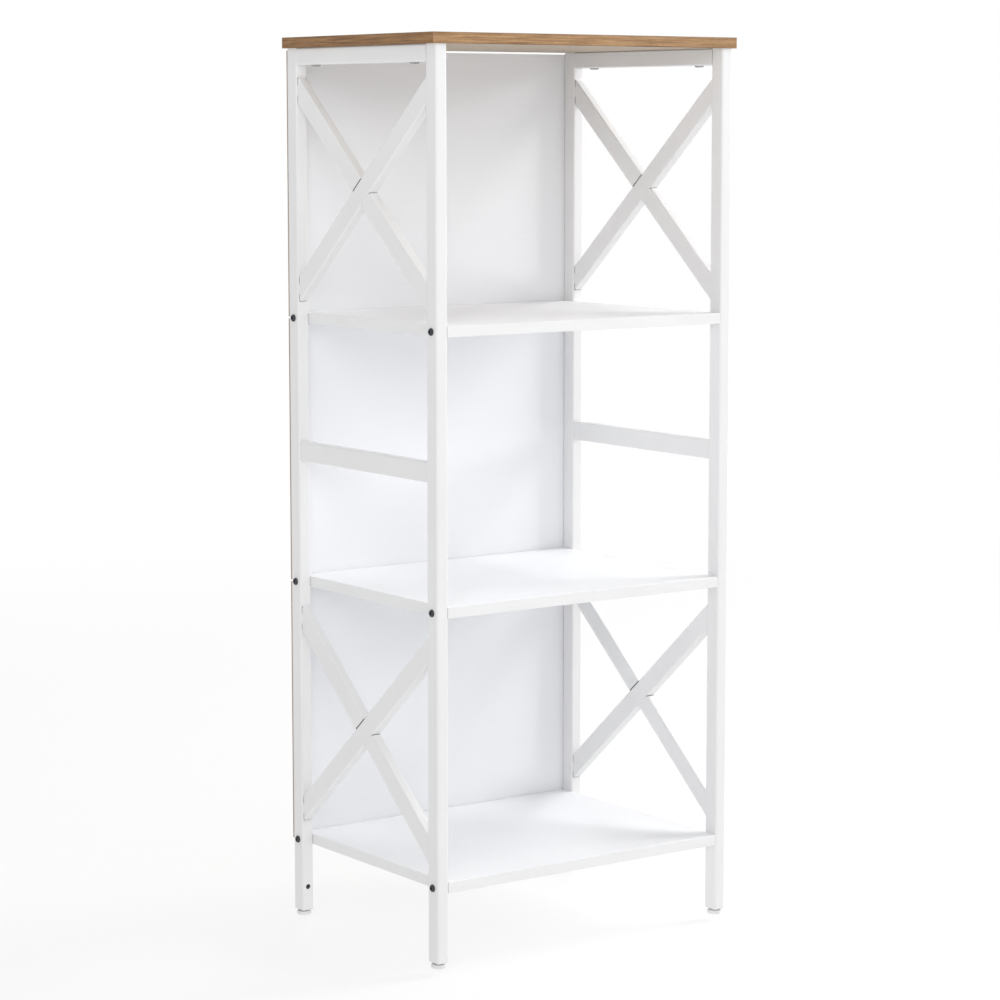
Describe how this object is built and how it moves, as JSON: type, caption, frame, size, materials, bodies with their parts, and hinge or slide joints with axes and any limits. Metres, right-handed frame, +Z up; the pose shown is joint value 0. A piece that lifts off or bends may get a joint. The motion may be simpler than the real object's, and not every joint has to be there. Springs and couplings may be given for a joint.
{
  "type": "open shelving unit",
  "caption": "Free-standing open shelving unit with welded steel side frames, cross braces, a wood-look top, white shelves, a thin back and screw-in levelling feet.",
  "frame": {"origin": "middle of the footprint on the floor plane, under the centre of the top board", "axes": "+Z up, the open front faces -Y, +X to the right when seen from the front"},
  "size_m": [0.55, 0.4, 1.342],
  "materials": {
    "frame_powder_coat": "white powder coat, satin, very fine texture",
    "white_board": "white melamine-faced chipboard, satin with a faint grain emboss",
    "white_edge_band": "white plastic edge banding, satin",
    "back_panel": "thin fibreboard, white lacquered face and raw brown edges",
    "oak_board": "wood-look melamine with a light oak grain",
    "oak_edge_band": "wood-look edge banding, grain along the edge",
    "black_steel": "black oxide, semi-gloss",
    "zinc_steel": "bright zinc plate",
    "bright_steel": "nickel plate",
    "white_plastic": "moulded white plastic, fine satin"
  },
  "bodies": {
    "shelf_unit": {"left_front_leg": "frame_powder_coat", "left_rear_leg": "frame_powder_coat", "left_top_rail": "frame_powder_coat", "left_middle_bar": "frame_powder_coat", "left_upper_brace": "frame_powder_coat", "left_upper_brace_rear_half": "frame_powder_coat", "left_upper_brace_front_half": "frame_powder_coat", "left_lower_brace": "frame_powder_coat", "left_lower_brace_rear_half": "frame_powder_coat", "left_lower_brace_front_half": "frame_powder_coat", "right_front_leg": "frame_powder_coat", "right_rear_leg": "frame_powder_coat", "right_top_rail": "frame_powder_coat", "right_middle_bar": "frame_powder_coat", "right_upper_brace": "frame_powder_coat", "right_upper_brace_rear_half": "frame_powder_coat", "right_upper_brace_front_half": "frame_powder_coat", "right_lower_brace": "frame_powder_coat", "right_lower_brace_rear_half": "frame_powder_coat", "right_lower_brace_front_half": "frame_powder_coat", "lower_shelf": "white_board", "lower_shelf_front_band": "white_edge_band", "lower_shelf_rear_band": "white_edge_band", "back_panel_lower": "back_panel", "lower_shelf_bolts": "black_steel", "lower_shelf_inserts": "zinc_steel", "middle_shelf": "white_board", "middle_shelf_front_band": "white_edge_band", "middle_shelf_rear_band": "white_edge_band", "back_panel_middle": "back_panel", "middle_shelf_bolts": "black_steel", "middle_shelf_inserts": "zinc_steel", "upper_shelf": "white_board", "upper_shelf_front_band": "white_edge_band", "upper_shelf_rear_band": "white_edge_band", "back_panel_upper": "back_panel", "upper_shelf_bolts": "black_steel", "upper_shelf_inserts": "zinc_steel", "top_board": "oak_board", "top_front_edge_band": "oak_edge_band", "top_rear_edge_band": "oak_edge_band", "top_left_edge_band": "oak_edge_band", "top_right_edge_band": "oak_edge_band", "top_board_screws": "bright_steel", "back_panel_screws": "zinc_steel", "left_front_leg_plug": "white_plastic", "left_rear_leg_plug": "white_plastic", "right_front_leg_plug": "white_plastic", "right_rear_leg_plug": "white_plastic"},
    "left_front_foot": {"left_front_foot_pad": "white_plastic", "left_front_foot_stud": "zinc_steel"},
    "left_rear_foot": {"left_rear_foot_pad": "white_plastic", "left_rear_foot_stud": "zinc_steel"},
    "right_front_foot": {"right_front_foot_pad": "white_plastic", "right_front_foot_stud": "zinc_steel"},
    "right_rear_foot": {"right_rear_foot_pad": "white_plastic", "right_rear_foot_stud": "zinc_steel"}
  },
  "joints": [
    {"name": "left_front_foot_level", "type": "slide", "parent": "shelf_unit", "child": "left_front_foot", "axis": [0, 0, -1], "range_m": [0, 0.01]},
    {"name": "left_rear_foot_level", "type": "slide", "parent": "shelf_unit", "child": "left_rear_foot", "axis": [0, 0, -1], "range_m": [0, 0.01]},
    {"name": "right_front_foot_level", "type": "slide", "parent": "shelf_unit", "child": "right_front_foot", "axis": [0, 0, -1], "range_m": [0, 0.01]},
    {"name": "right_rear_foot_level", "type": "slide", "parent": "shelf_unit", "child": "right_rear_foot", "axis": [0, 0, -1], "range_m": [0, 0.01]}
  ]
}
